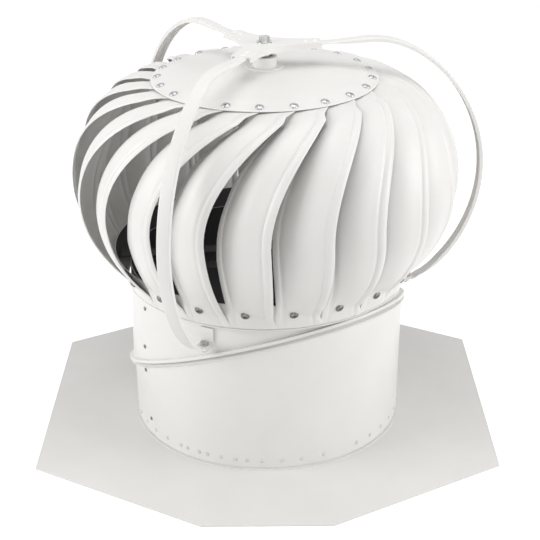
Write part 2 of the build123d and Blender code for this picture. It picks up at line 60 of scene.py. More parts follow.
BRACE_AZIMUTH = -23.5
BRACE_WIDTH = 14.0               # as the photograph shows it, narrower than the frame's
BRACE_SHEET = 1.2
BRACE_FLANGE = 4.5
BRACE_GROWTH = 5                 # points from either end over which the flanges grow to full depth
BRACE_ARCH = ((66.0, 434.8), (125.0, 438.0), (206.0, 390.0), (245.0, 285.0), (222.0, 200.0), (177.0, 156.0))
BRACE_ROOT = 38.0                # inner end, under the hub
BRACE_FOOT = ((171.0, 151.8), (156.7, 151.8))

CAP_RIM_RADIUS = 122.0
CAP_RIM_HEIGHT = 397.8
CAP_SLOPE = 17.0
CAP_BAND = 16.0
CAP_CROWN_RADIUS = 30.0
CAP_CROWN_HEIGHT = 409.0
CAP_SHOULDER = (68.0, 407.85)    # radius and height where the crown starts to fall
CAP_HOLE = 18.0
CAP_STEPS = 168

RING_LOW_RADIUS = 156.4
RING_LOW_HEIGHT = 174.0
RING_FLARE = 21.0

VANE_COUNT = 21
PITCH = 360 / VANE_COUNT
VANE_AZIMUTH = 14.7
VANE_LAP_TOP = 4.5
VANE_LAP_FOOT = 0.9
VANE_TAB = 13.0
VANE_TAB_DROP = 2.2              # step down of the tab's covered edge
VANE_TAB_INSET = 1.0
TAB_TURN_SHARE = 0.85            # how the tab's edge turns under the cap: a share of its turn at the rim
TAB_TURN = 1.5                   # and a fixed part
VANE_RIM_TURN = -0.6             # free edge from its rivet, at the rim
VANE_CREASE_TURN = 1.2           # free edge back towards the rivet, at the crease and at the foot
VANE_FOOT_TURN = 3.0
VANE_SWEEP = 30.6
VANE_INNER_SWEEP = 25.6
VANE_BELLY = (212.0, 288.0)
VANE_INNER_BELLY = (188.5, 285.0)
VANE_WAIST_HEIGHT = 240.0
VANE_INNER_WAIST_HEIGHT = 245.0
VANE_CREASE_HEIGHT = 190.0
VANE_INNER_CREASE_HEIGHT = 206.0
VANE_FOOT_HEIGHT = 177.6
VANE_CROWN = 5.0

TAB_STATIONS = 4                 # stations down a vane: tab, shoulder, waist and foot
SHOULDER_STATIONS = 25
WAIST_STATIONS = 16
FOOT_STATIONS = 5
HEM_STATIONS = (0, 0.5, 2.0, 4.0, 5.6, 6.4, 7.2, 8.2, 9.6, 11.5)     # points across, from the covered edge
RIB_STATIONS = (13.0, 11.2, 10.0, 9.2, 8.4, 7.2, 5.8, 4.2, 2.8, 1.6, 0.7, 0)     # and from the free edge
MIDDLE_STATIONS = 12
HEM_RELIEF = ((0, 0.15), (0.8, 0.5), (4.8, 0.55), (6.2, -0.1), (7.4, -1.0), (9.0, -0.6), (12.0, 0))
RIB_RELIEF = ((0, -0.9), (1.0, -0.1), (3.0, 0.5), (5.4, 0.55), (7.6, -0.3), (9.2, -1.15), (11.0, -0.35),
              (13.5, 0))
FLAT_RELIEF = ((0.5, 0.0), (0.62, -0.25), (0.74, -0.75), (0.84, -0.35), (0.95, 0.0))
FLAT_DEPTH = 1.3                 # scales FLAT_RELIEF, whose places are shares of the width
FLAT_SPREAD = 0.18               # by how much the flats of the vanes differ
RELIEF_ONSET = 18.0              # run below the cap at which the pressed forms stand in full
FOOT_FLATTENING = 0.7
HEM_JOG = 2.4                    # step in the free edge where it leaves the cap
JOG_ONSET = 15.0
JOG_START = 19.0
JOG_END = 26.0
JOG_FADE = 60.0
POCKET_DEPTH = 12.0              # how far the covered side of a vane dips under its neighbour
POCKET_FOOT = 262.0              # the dip fades out between these heights
POCKET_HEAD = 330.0
POCKET_SHARE = 0.6               # part of the width that dips
POCKET_CURVE = 1.6
SHALLOW_POCKETS = {3: 0.6, 4: 0.15, 5: 0.15}     # share of that dip, by the vane's number from 0
VANE_SLACK = (-0.9, 0.5)         # how far the belly of a hand-formed vane strays sideways, in degrees
SLACK_VANES = (3, 4)             # the two that stray the most, numbered from 0
MOST_SLACK = -1.6
COVERED_SLACK = 0.4              # share of it that the covered edge has

RIVET_DIAMETER = 9.0
RIVET_HEIGHT = 2.2
PIN_HOLE = 1.3                   # radius of the hole that the drawn pin leaves
CAP_RIVET_RADIUS = 115.0
RING_RIVET_TURN = -39.2
RING_RIVET_HEIGHT = 196.0
RING_RIVET_LIFT = 1.3            # bulge of a vane's foot under its rivet
SMALL_RIVET_DIAMETER = 4.6
SMALL_RIVET_HEIGHT = 1.2
SEAM_RIVET_HEIGHT = 1.0
NECK_RIVET_HEIGHT = 13.0
NECK_RIVET_LIFT = 0.05
NECK_RIVETS = (-38.8, -35.3, -29.5, -25.6, -19.5, -13.3, -8.4, -2.3, 6.0, 14.1, 23.9, 40.5)
NECK_RIVETS_BEHIND = 33
SEAM_AZIMUTH = -58.5
LOWER_SEAM_RIVETS = (24.0, 88.0)
UPPER_SEAM_RIVETS = (117.0, 163.0)
LAP_WIDTH = 15.0
LAP_PROUD = 0.45
LAP_SUNK = -0.3
LAP_LOW = 5.0
LAP_HIGH = 50.0
LAP_FADE = 15.0                  # below the top of the lap, where it sinks into the wall

# ---- the camera ------------------------------------------------------------------------------------------
CAMERA_PLACE = (0.00422, -1.3343, 0.7866)
CAMERA_DOWN = 24.77
CAMERA_ROLL = -0.41
CAMERA_LENS = 85.71
CAMERA_SENSOR = 36.0

# ---- the studio ------------------------------------------------------------------------------------------
WORLD_LIGHT = 0.32
FLOOR_REACH = 6.0
FLOOR_DROP = 0.0003              # below the flashing, so that the two don't share a plane
FLOOR_GLOW = 0.66                # keeps the floor white to the camera and leaves it its shadow
STUDIO_CENTRE = (0, 0, 0.22)
SOFTBOXES = (                    # name, azimuth, elevation, distance, size and power
    ("softbox_left", -72, 20, 1.9, 1.3, 19),
    ("softbox_right", 74, 20, 1.9, 1.3, 18),
    ("softbox_front", 4, 10, 2.2, 1.6, 7),
    ("softbox_top", 0, 84, 0.95, 0.7, 3.2),
)


# ---- materials -------------------------------------------------------------------------------------------
def new_material(name):
    material = bpy.data.materials.new(name)
    material.use_nodes = True
    return material, material.node_tree.nodes, material.node_tree.links


def noise(nodes, links, scale, detail=3.0, rough=0.55):
    """Noise that sits in the object's own space."""
    place = nodes.new("ShaderNodeTexCoord")
    texture = nodes.new("ShaderNodeTexNoise")
    texture.inputs["Scale"].default_value = scale
    texture.inputs["Detail"].default_value = detail
    texture.inputs["Roughness"].default_value = rough
    links.new(place.outputs["Object"], texture.inputs["Vector"])
    return texture.outputs["Fac"]


def spread(nodes, links, value, low, high):
    """Stretches the middle of a noise to a range."""
    reach = nodes.new("ShaderNodeMapRange")
    reach.inputs["From Min"].default_value = 0.3
    reach.inputs["From Max"].default_value = 0.7
    reach.inputs["To Min"].default_value = low
    reach.inputs["To Max"].default_value = high
    links.new(value, reach.inputs["Value"])
    return reach.outputs["Result"]


def blend_colours(nodes, links, factor, first, second):
    mix = nodes.new("ShaderNodeMix")
    mix.data_type = "RGBA"
    links.new(factor, mix.inputs["Factor"])
    mix.inputs["A"].default_value = (*first, 1)
    mix.inputs["B"].default_value = (*second, 1)
    return mix.outputs["Result"]


def bump(nodes, links, height, strength, distance, under=None):
    relief = nodes.new("ShaderNodeBump")
    relief.inputs["Strength"].default_value = strength
    relief.inputs["Distance"].default_value = distance
    links.new(height, relief.inputs["Height"])
    if under:
        links.new(under, relief.inputs["Normal"])
    return relief.outputs["Normal"]


def paint(name, colour, rough=0.38):
    """Baked enamel on sheet metal: faint orange peel, slow waves of the sheet and a little tone."""
    material, nodes, links = new_material(name)
    shader = nodes["Principled BSDF"]
    tone = spread(nodes, links, noise(nodes, links, 14.0), 0.0, 1.0)
    dull = tuple(c * 0.965 for c in colour)
    links.new(blend_colours(nodes, links, tone, dull, colour), shader.inputs["Base Color"])
    gloss = spread(nodes, links, noise(nodes, links, 60.0), rough - 0.05, rough + 0.07)
    links.new(gloss, shader.inputs["Roughness"])
    waves = bump(nodes, links, noise(nodes, links, 9.0, 1.0), 0.25, 0.0012)
    peel = bump(nodes, links, noise(nodes, links, 900.0, 2.0), 0.06, 0.0002, waves)
    links.new(peel, shader.inputs["Normal"])
    shader.inputs["Specular IOR Level"].default_value = 0.4
    return material


def back_coat(name):
    """The duller, thinner coat on the hidden side of the vanes."""
    material, nodes, links = new_material(name)
    shader = nodes["Principled BSDF"]
    tone = spread(nodes, links, noise(nodes, links, 40.0, 5.0), 0.0, 1.0)
    links.new(blend_colours(nodes, links, tone, (0.73, 0.725, 0.705), (0.80, 0.795, 0.775)),
              shader.inputs["Base Color"])
    shader.inputs["Roughness"].default_value = 0.62
    links.new(bump(nodes, links, noise(nodes, links, 500.0), 0.1, 0.0003), shader.inputs["Normal"])
    return material


def collar_paint_with_shade(name, outside, inside):
    """Enamel outside, and painted shade inside: a near-black colour on the faces that look at the axis
    stands in for the shade deep inside the collars and rings.
    """
    material = paint(name, outside)
    nodes = material.node_tree.nodes
    links = material.node_tree.links
    shader = nodes["Principled BSDF"]
    colour = shader.inputs["Base Color"].links[0].from_socket
    place = nodes.new("ShaderNodeTexCoord")
    flat = nodes.new("ShaderNodeVectorMath")
    flat.operation = "MULTIPLY"
    flat.inputs[1].default_value = (1, 1, 0)
    links.new(place.outputs["Object"], flat.inputs[0])
    outward = nodes.new("ShaderNodeVectorMath")
    outward.operation = "NORMALIZE"
    links.new(flat.outputs["Vector"], outward.inputs[0])
    facing = nodes.new("ShaderNodeVectorMath")
    facing.operation = "DOT_PRODUCT"
    links.new(outward.outputs["Vector"], facing.inputs[0])
    links.new(place.outputs["Normal"], facing.inputs[1])
    # faces that look at the axis take the near-black painted shade
    inner = nodes.new("ShaderNodeMath")
    inner.operation = "LESS_THAN"
    inner.inputs[1].default_value = PAINTED_SHADE_FACING
    links.new(facing.outputs["Value"], inner.inputs[0])
    mix = nodes.new("ShaderNodeMix")
    mix.data_type = "RGBA"
    mix.inputs["B"].default_value = (*inside, 1)
    links.new(inner.outputs["Value"], mix.inputs["Factor"])
    links.new(colour, mix.inputs["A"])
    links.new(mix.outputs["Result"], shader.inputs["Base Color"])
    return material


def metal(name, dark, light, rough, grain, spangle=0.0):
    """Bare metal with tone, an uneven polish and, for zinc, its crystals."""
    material, nodes, links = new_material(name)
    shader = nodes["Principled BSDF"]
    shader.inputs["Metallic"].default_value = 1.0
    tone = spread(nodes, links, noise(nodes, links, grain, 4.0), 0.0, 1.0)
    if spangle:
        place = nodes.new("ShaderNodeTexCoord")
        cells = nodes.new("ShaderNodeTexVoronoi")
        cells.inputs["Scale"].default_value = spangle
        links.new(place.outputs["Object"], cells.inputs["Vector"])
        grey = nodes.new("ShaderNodeRGBToBW")
        links.new(cells.outputs["Color"], grey.inputs["Color"])
        tone = grey.outputs["Val"]
    links.new(blend_colours(nodes, links, tone, dark, light), shader.inputs["Base Color"])
    gloss = spread(nodes, links, noise(nodes, links, grain * 2), rough - 0.06, rough + 0.1)
    links.new(gloss, shader.inputs["Roughness"])
    links.new(bump(nodes, links, noise(nodes, links, grain * 6), 0.15, 0.0001), shader.inputs["Normal"])
    return material


PAINT_COLOUR = (0.83, 0.82, 0.80)
# near-black painted shade for the insides of the collars and rings, where little light reaches
INSIDE_PAINTED_SHADE = (0.07, 0.07, 0.072)
PAINTED_SHADE_FACING = -0.6             # a face gets the painted shade where it looks outward less than this
white_paint = paint("white_enamel", PAINT_COLOUR)
vane_paint = paint("vane_enamel", PAINT_COLOUR, 0.34)
rivet_paint = paint("rivet_enamel", (0.71, 0.70, 0.68), 0.3)
vane_back = back_coat("vane_back_coat")
# the collars' enamel, with painted shade on their insides
tube_paint_and_shade = collar_paint_with_shade("collar_enamel_and_shade", PAINT_COLOUR, INSIDE_PAINTED_SHADE)
aluminium = metal("rivet_aluminium", (0.34, 0.34, 0.35), (0.50, 0.50, 0.51), 0.26, 300.0)
# dark base colour on the ring and seam rivet heads: painted reflection and shade, standing in for the dark
# surroundings and shadows these heads show
reflection_shade_metal = metal("reflection_shade_aluminium", (0.10, 0.098, 0.095), (0.26, 0.255, 0.25), 0.3, 420.0)
zinc = metal("galvanised_zinc", (0.36, 0.38, 0.38), (0.60, 0.62, 0.61), 0.38, 120.0, 260.0)
bright_zinc = metal("bright_zinc", (0.42, 0.43, 0.42), (0.66, 0.66, 0.65), 0.24, 150.0)
steel = metal("bearing_steel", (0.42, 0.42, 0.43), (0.58, 0.58, 0.58), 0.25, 200.0)
dull_steel = metal("dull_steel", (0.07, 0.07, 0.07), (0.13, 0.13, 0.125), 0.5, 90.0)


# ---- geometry helpers ------------------------------------------------------------------------------------
def polar(radius, azimuth, height):
    """A point in metres from millimetres; azimuth 0 faces -Y and grows towards +X."""
    turn = math.radians(azimuth)
    return Vector((radius * math.sin(turn), -radius * math.cos(turn), height)) * MM


def add_piece(name, points, faces, materials, body, face_materials=None, sharp=40):
    mesh = bpy.data.meshes.new(name)
    mesh.from_pydata([tuple(p) for p in points], [], faces)
    for material in materials:
        mesh.materials.append(material)
    if face_materials is not None:
        mesh.polygons.foreach_set("material_index", face_materials)
    mesh.update()
    mesh.shade_smooth()
    mesh.set_sharp_from_angle(angle=math.radians(sharp))
    piece = bpy.data.objects.new(name, mesh)
    bpy.context.scene.collection.objects.link(piece)
    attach(piece, body)
    return piece


def dress(node, material, bevel=0.0, sharp=35):
    """Gives a CAD node its material, soft shading and slightly broken edges."""
    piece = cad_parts[node]
    piece.data.materials.clear()
    piece.data.materials.append(material)
    piece.data.shade_smooth()
    piece.data.set_sharp_from_angle(angle=math.radians(sharp))
    if bevel:
        rounding = piece.modifiers.new("edge", "BEVEL")
        rounding.width = bevel * MM
        rounding.segments = 2
        rounding.limit_method = "ANGLE"
        rounding.angle_limit = math.radians(40)
        rounding.harden_normals = False


def grid_faces(rows, columns, start=0, flip=False, wrap=False):
    """Faces of a sheet of rows by columns points; wrap joins the last column to the first."""
    faces = []
    for r in range(rows - 1):
        for c in range(columns if wrap else columns - 1):
            d = (c + 1) % columns
            face = (start + r * columns + c, start + r * columns + d,
                    start + (r + 1) * columns + d, start + (r + 1) * columns + c)
            faces.append(face[::-1] if flip else face)
    return faces


def lathe(profile, steps):
    """Points and faces of a closed (radius, height) profile turned about Z."""
    points = []
    for k in range(steps):
        points += [polar(radius, -360 * k / steps, height) for radius, height in profile]
    count = len(profile)
    faces = []
    for k in range(steps):
        for j in range(count):
            a = k * count + j
            b = k * count + (j + 1) % count
            shift = ((k + 1) % steps) * count
            faces.append((a, b, shift + (j + 1) % count, shift + j))
    return points, faces


def smooth_curve(knots, samples, first, last):
    """Clamped cubic spline through 2-D knots, its parameter the chord length."""
    knots = np.array(knots, float)
    lengths = np.hypot(*np.diff(knots, axis=0).T)
    ticks = np.concatenate([[0], np.cumsum(lengths)])
    count = len(knots)
    matrix = np.zeros((count, count))
    right = np.zeros((count, 2))
    matrix[0, 0] = matrix[-1, -1] = 1
    right[0] = np.array(first) / np.hypot(*first)
    right[-1] = np.array(last) / np.hypot(*last)
    for k in range(1, count - 1):
        before, after = lengths[k - 1], lengths[k]
        matrix[k, k - 1:k + 2] = (after, 2 * (before + after), before)
        here = knots[k] - knots[k - 1]
        beyond = knots[k + 1] - knots[k]
        right[k] = 3 * (after / before * here + before / after * beyond)
    slopes = np.linalg.solve(matrix, right)
    curve = []
    for s in np.linspace(0, ticks[-1], samples):
        k = min(int(np.searchsorted(ticks, s, side="right")) - 1, count - 2)
        h = lengths[k]
        t = (s - ticks[k]) / h
        curve.append((2 * t**3 - 3 * t**2 + 1) * knots[k] + (t**3 - 2 * t**2 + t) * h * slopes[k]
                     + (-2 * t**3 + 3 * t**2) * knots[k + 1] + (t**3 - t**2) * h * slopes[k + 1])
    return np.array(curve)


def ring_face(height):
    return RING_LOW_RADIUS + (height - RING_LOW_HEIGHT) * math.tan(math.radians(RING_FLARE))


def cap_under(radius):
    return CAP_RIM_HEIGHT + (CAP_RIM_RADIUS - radius) * math.tan(math.radians(CAP_SLOPE))


def collar_wall(level_height, rise, azimuth, height):
    """Outside radius of a collar between its level circle and its circle at the swivel joint."""
    tilt = math.radians(SWIVEL_TILT)
    high = math.radians(SWIVEL_AZIMUTH)
    level = np.array((math.cos(high), math.sin(high), 0))
    up_slope = np.array((math.sin(high), -math.cos(high), 0))
    axis = np.array((0, 0, math.cos(tilt))) - up_slope * math.sin(tilt)
    across = np.cross(axis, level)
    centre = np.array((0, 0, SWIVEL_HEIGHT)) + axis * rise
    turn = math.radians(azimuth - SWIVEL_AZIMUTH) - math.pi / 2
    for _ in range(6):
        near = COLLAR_RADIUS * (level * math.cos(turn) - up_slope * math.sin(turn))
        near[2] = level_height
        far = centre + SWIVEL_RADIUS * (level * math.cos(turn) + across * math.sin(turn))
        point = near + (far - near) * ((height - near[2]) / (far[2] - near[2]))
        turn += math.remainder(math.radians(azimuth) - math.atan2(point[0], -point[1]), 2 * math.pi)
    return math.hypot(point[0], point[1])


def upper_wall(azimuth, height):
    return collar_wall(COLLAR_TOP, CHANNEL_TOP, azimuth, height)


def lower_wall(azimuth, height):
    skirt = PLATE_TOP + COLLAR_SKIRT
    if height < skirt:
        return COLLAR_RADIUS
    return collar_wall(skirt, BEAD_LOW, azimuth, height)


# ---- vanes -----------------------------------------------------------------------------------------------
def vane_edge(rim, belly, bend_height, crease, foot):
    """(turn, radius, height) stations down one edge of a vane."""
    tab_height = rim[2] + VANE_TAB * math.tan(math.radians(CAP_SLOPE))
    tab = np.array((rim[0] * TAB_TURN_SHARE + TAB_TURN, rim[1] - VANE_TAB, tab_height))
    rim = np.array(rim)
    belly = np.array(belly)
    stations = [tab + (rim - tab) * t for t in np.linspace(0, 1, TAB_STATIONS + 1)[:-1]]
    for angle in np.linspace(0, math.pi / 2, SHOULDER_STATIONS):
        sine = math.sin(angle)
        stations.append(np.array((rim[0] + (belly[0] - rim[0]) * sine, rim[1] + (belly[1] - rim[1]) * sine,
                                  belly[2] + (rim[2] - belly[2]) * math.cos(angle))))
    for t in np.linspace(0, 1, WAIST_STATIONS + 1)[1:]:
        keep = 1 - t * t
        height = (1 - t)**2 * belly[2] + 2 * t * (1 - t) * bend_height + t * t * crease[2]
        stations.append(np.array((belly[0] + (crease[0] - belly[0]) * t,
                                  keep * belly[1] + t * t * crease[1], height)))
    crease = np.array(crease)
    foot = np.array(foot)
    stations += [crease + (foot - crease) * t for t in np.linspace(0, 1, FOOT_STATIONS + 1)[1:]]
    return stations


def free_edge():
    lift = FIT + VANE_SHEET + FIT + VANE_SHEET
    return vane_edge(
        (VANE_RIM_TURN, CAP_RIM_RADIUS, CAP_RIM_HEIGHT - FIT),
        (-VANE_SWEEP, *VANE_BELLY), VANE_WAIST_HEIGHT,
        (VANE_CREASE_TURN - VANE_SWEEP, ring_face(VANE_CREASE_HEIGHT) + lift, VANE_CREASE_HEIGHT),
        (VANE_FOOT_TURN - VANE_SWEEP, ring_face(VANE_FOOT_HEIGHT) + lift, VANE_FOOT_HEIGHT))


def inner_edge():
    turn = -PITCH - VANE_LAP_TOP
    foot_turn = VANE_FOOT_TURN - VANE_SWEEP - PITCH - VANE_LAP_FOOT
    lift = FIT + VANE_SHEET
    return vane_edge(
        (turn, CAP_RIM_RADIUS - VANE_TAB_INSET, CAP_RIM_HEIGHT - FIT - VANE_TAB_DROP),
        (turn - VANE_INNER_SWEEP, *VANE_INNER_BELLY), VANE_INNER_WAIST_HEIGHT,
        (foot_turn, ring_face(VANE_INNER_CREASE_HEIGHT) + lift, VANE_INNER_CREASE_HEIGHT),
        (foot_turn, ring_face(VANE_FOOT_HEIGHT) + lift, VANE_FOOT_HEIGHT))


def edge_jog(run):
    """Sideways shift of the free edge, by the run below the cap: drawn in, then out past a short step."""
    ease = min(max((run - JOG_START) / (JOG_END - JOG_START), 0), 1)
    ease = ease * ease * (3 - 2 * ease)
    drawn_in = min(run / JOG_ONSET, 1) * (1 - ease)
    let_out = ease * math.exp(-max(run - JOG_END, 0) / JOG_FADE)
    return HEM_JOG * (let_out - drawn_in)


def pocket_share(run, height):
    """The share of its full dip that the covered side has, by the run below the cap and the height."""
    fade = min(max((height - POCKET_FOOT) / (POCKET_HEAD - POCKET_FOOT), 0), 1)
    return min(run / JOG_END, 1) * fade


def section_rise(reach, width, crown, relief, flat, dip):
    """How far the sheet stands over the straight line between its edges, reach from the covered one."""
    share = reach / width
    rise = 4 * crown * share * (1 - share)
    rise += relief * np.interp(reach, *zip(*HEM_RELIEF))
    rise += relief * np.interp(width - reach, *zip(*RIB_RELIEF))
    rise += flat * np.interp(share, *zip(*FLAT_RELIEF))
    return rise - dip * max(1 - share / POCKET_SHARE, 0)**POCKET_CURVE


def vane_points(azimuth, slack, pocket, seed):
    """The outer surface of one vane as stations down by points across, in metres."""
    inner = inner_edge()
    outer = free_edge()
    last = len(inner) - 1
    crease_at = last - FOOT_STATIONS
    flat_depth = FLAT_DEPTH * random.Random(seed).uniform(1 - FLAT_SPREAD, 1 + FLAT_SPREAD)
    rows = []
    run = 0.0
    previous = None
    for k in range(last + 1):
        body = min(max((k - TAB_STATIONS) / (crease_at - TAB_STATIONS), 0), 1)
        sway = slack * math.sin(math.pi * body)**1.5
        p = np.array(polar(inner[k][1], azimuth + inner[k][0] + sway * COVERED_SLACK, inner[k][2])) / MM
        q = np.array(polar(outer[k][1], azimuth + outer[k][0] + sway, outer[k][2])) / MM
        if previous is not None and k > TAB_STATIONS:
            run += np.linalg.norm(q - previous)
        previous = q
        across = (q - p) / np.linalg.norm(q - p)
        width = np.linalg.norm(q - p) + edge_jog(run)
        near = (max(k - 1, 0), min(k + 1, last))
        ends = [np.array(polar(edge[j][1], azimuth + edge[j][0], edge[j][2])) for j in near
                for edge in (inner, outer)]
        forward = (ends[2] + ends[3]) - (ends[0] + ends[1])
        out = np.cross(forward, across)
        out /= np.linalg.norm(out)
        formed = max(math.sin(math.pi * body), 0)**0.6
        crown = width**2 / (8 * RING_LOW_RADIUS) * body + VANE_CROWN * formed
        relief = min(run / RELIEF_ONSET, 1) * (1 - FOOT_FLATTENING * max(k - crease_at, 0) / FOOT_STATIONS)
        height = (q + across * edge_jog(run))[2]
        dip = pocket * pocket_share(run, height)
        middle = np.linspace(HEM_STATIONS[-1], width - RIB_STATIONS[0], MIDDLE_STATIONS + 2)[1:-1]
        reaches = list(HEM_STATIONS) + list(middle) + [width - r for r in RIB_STATIONS]
        rises = [section_rise(reach, width, crown, relief, flat_depth * formed, dip) for reach in reaches]
        rows.append([(p + across * reach + out * rise) * MM for reach, rise in zip(reaches, rises)])
    return np.array(rows)


def sheet_normals(surface):
    """Outward unit normals of the surface points."""
    down = np.gradient(surface, axis=0)
    across = np.gradient(surface, axis=1)
    normals = np.cross(down, across)
    return normals / np.linalg.norm(normals, axis=2, keepdims=True)


def build_vane(number):
    slack = random.uniform(*VANE_SLACK)
    if number in SLACK_VANES:
        slack = MOST_SLACK
    pocket = POCKET_DEPTH * SHALLOW_POCKETS.get(number, 1.0)
    front = vane_points(VANE_AZIMUTH + number * PITCH, slack, pocket, number)
    back = front - sheet_normals(front) * VANE_SHEET * MM
    rows, columns = front.shape[:2]
    count = rows * columns
    points = np.concatenate([front.reshape(-1, 3), back.reshape(-1, 3)])
    outside = grid_faces(rows, columns, flip=True)
    inside = grid_faces(rows, columns, start=count)
    border = [(0, c) for c in range(columns)]
    border += [(r, columns - 1) for r in range(1, rows)]
    border += [(rows - 1, c) for c in range(columns - 2, -1, -1)]
    border += [(r, 0) for r in range(rows - 2, 0, -1)]
    loop = [r * columns + c for r, c in border]
    rim = [(a, b, b + count, a + count) for a, b in zip(loop, loop[1:] + loop[:1])]
    kinds = [0] * (len(outside) + len(rim)) + [1] * len(inside)
    node = f"vane_{number + 1:02d}"
    vane = add_piece(f"formed_{node}", points, outside + rim + inside, [vane_paint, vane_back], "rotor",
                     kinds, 50)
    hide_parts(node)


# ---- braces ----------------------------------------------------------------------------------------------
def channel_section(depth):
    """Half-turned (across, inward) outline of the channel for a flange depth, outside first."""
    half = BRACE_WIDTH / 2
    bend = 1.6
    wall = BRACE_SHEET
    outer = [(-half, depth), (-half, bend + 0.2)]
    for angle in np.linspace(0.2, 1.4, 4):
        outer.append((-half + bend - bend * math.cos(angle), bend - bend * math.sin(angle)))
    outer += [(-half + bend + 0.3, 0)]
    outer += [(x, -0.15) for x in (-half * 0.4, half * 0.4)]
    outer += [(-x, y) for x, y in outer[-3::-1]]
    inner = [(half - wall, depth), (half - wall, wall + 0.6), (half - wall - 0.6, wall)]
    inner += [(-x, y) for x, y in inner[::-1]]
    return outer + inner


def brace_path():
    """Outside line of a brace from under the hub to its foot, with the flange depth at each point."""
    arch = smooth_curve(BRACE_ARCH, 64, (1, 0.02), (-1, -0.45))
    root = [(BRACE_ROOT + (BRACE_ARCH[0][0] - BRACE_ROOT) * t, BRACE_ARCH[0][1]) for t in (0, 0.5, 0.9)]
    path = [np.array(p) for p in root] + list(arch) + [np.array(p) for p in BRACE_FOOT]
    depths = [BRACE_SHEET + 0.05] * len(root)
    for k in range(len(arch)):
        share = min(k / BRACE_GROWTH, (len(arch) - 1 - k) / BRACE_GROWTH, 1)
        depths.append(BRACE_SHEET + 0.05 + (BRACE_FLANGE - BRACE_SHEET) * max(share, 0))
    return path, depths + [BRACE_SHEET + 0.05] * len(BRACE_FOOT)


def build_brace(number, azimuth):
    path, depths = brace_path()
    turn = math.radians(azimuth)
    radial = Vector((math.sin(turn), -math.cos(turn), 0))
    side = Vector((math.cos(turn), math.sin(turn), 0))
    points = []
    for k, (spot, depth) in enumerate(zip(path, depths)):
        heading = path[min(k + 1, len(path) - 1)] - path[max(k - 1, 0)]
        heading = heading / np.hypot(*heading)
        inward = (heading[1], -heading[0])
        for across, deep in channel_section(depth):
            radius = spot[0] + inward[0] * deep
            height = spot[1] + inward[1] * deep
            points.append((radial * radius + side * across) * MM + Vector((0, 0, height * MM)))
    columns = len(channel_section(BRACE_FLANGE))
    faces = grid_faces(len(path), columns, flip=True, wrap=True)
    faces.append(tuple(range(columns)))
    faces.append(tuple(reversed(range((len(path) - 1) * columns, len(path) * columns))))
    brace = add_piece(f"bent_brace_{number}", points, faces, [white_paint], "throat")
    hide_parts(f"brace_strap_{number}")


# ---- cap -------------------------------------------------------------------------------------------------
def build_cap():
    band = CAP_RIM_RADIUS - CAP_BAND
    crown = ((CAP_CROWN_RADIUS, CAP_CROWN_HEIGHT), CAP_SHOULDER, (band, cap_under(band)))
    over = [(CAP_HOLE / 2, CAP_CROWN_HEIGHT)]
    over += [tuple(p) for p in smooth_curve(crown, 14, (1, 0), (1, -0.16))]
    for share in (0.9, 0.5, 0.08):
        radius = CAP_RIM_RADIUS - CAP_BAND * share
        over.append((radius, cap_under(radius)))
    over += [(CAP_RIM_RADIUS - 0.25, CAP_RIM_HEIGHT + 0.05)]
    top = [(radius, height + SHEET) for radius, height in over]
    rim = [(CAP_RIM_RADIUS, CAP_RIM_HEIGHT + 0.5), (CAP_RIM_RADIUS, CAP_RIM_HEIGHT + 0.2)]
    points, faces = lathe(top + rim + over[::-1], CAP_STEPS)
    cap = add_piece("spun_cap", points, faces, [white_paint], "rotor", sharp=12)
    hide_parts("top_cap")


# ---- fasteners -------------------------------------------------------------------------------------------
def heads_mesh(seats, diameter, height, pit=0.0):
    """Domed rivet heads, each on its (place, outward direction); a pit is the hole of a drawn pin."""
    radius = diameter / 2
    profile = [(radius, 0.0)]
    for angle in np.linspace(0.1, 1.25, 6):
        profile.append((radius * math.cos(angle), height * (0.12 + 0.88 * math.sin(angle))))
    if pit:
        profile += [(pit * 1.15, height * 0.99), (pit, height * 0.85), (pit * 0.8, height * 0.45)]
    steps = 20
    points = []
    faces = []
    for place, outward in seats:
        outward = Vector(outward).normalized()
        side = outward.orthogonal().normalized()
        other = outward.cross(side)
        start = len(points)
        for reach, rise in profile:
            for k in range(steps):
                turn = 2 * math.pi * k / steps
                points.append(place + (side * math.cos(turn) + other * math.sin(turn)) * reach * MM
                              + outward * rise * MM)
        faces += grid_faces(len(profile), steps, start=start, wrap=True)
        faces.append(tuple(range(start + steps - 1, start - 1, -1)))
        finish = start + (len(profile) - 1) * steps
        faces.append(tuple(range(finish, finish + steps)))
    return points, faces


def build_heads(name, node, seats, diameter, height, material, body, pit=0.0):
    points, faces = heads_mesh(seats, diameter, height, pit)
    heads = add_piece(name, points, faces, [material], body, sharp=45)
    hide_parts(node)


def build_vane_rivets():
    slope = math.radians(CAP_SLOPE)
    flare = math.radians(RING_FLARE)
    cap_height = cap_under(CAP_RIVET_RADIUS) + SHEET / math.cos(slope)
    ring_radius = ring_face(RING_RIVET_HEIGHT) + FIT + VANE_SHEET + RING_RIVET_LIFT
    cap_seats = []
    ring_seats = []
    for k in range(VANE_COUNT):
        azimuth = VANE_AZIMUTH + k * PITCH
        upward = polar(math.sin(slope), azimuth, math.cos(slope))
        cap_seats.append((polar(CAP_RIVET_RADIUS, azimuth, cap_height), upward))
        azimuth += RING_RIVET_TURN
        outward = polar(math.cos(flare), azimuth, -math.sin(flare))
        ring_seats.append((polar(ring_radius, azimuth, RING_RIVET_HEIGHT), outward))
    build_heads("cap_rivet_heads", "cap_rivets", cap_seats, RIVET_DIAMETER, RIVET_HEIGHT, aluminium,
                "rotor", PIN_HOLE)
    build_heads("ring_rivet_heads", "ring_rivets", ring_seats, RIVET_DIAMETER, RIVET_HEIGHT, reflection_shade_metal,
                "rotor", PIN_HOLE)


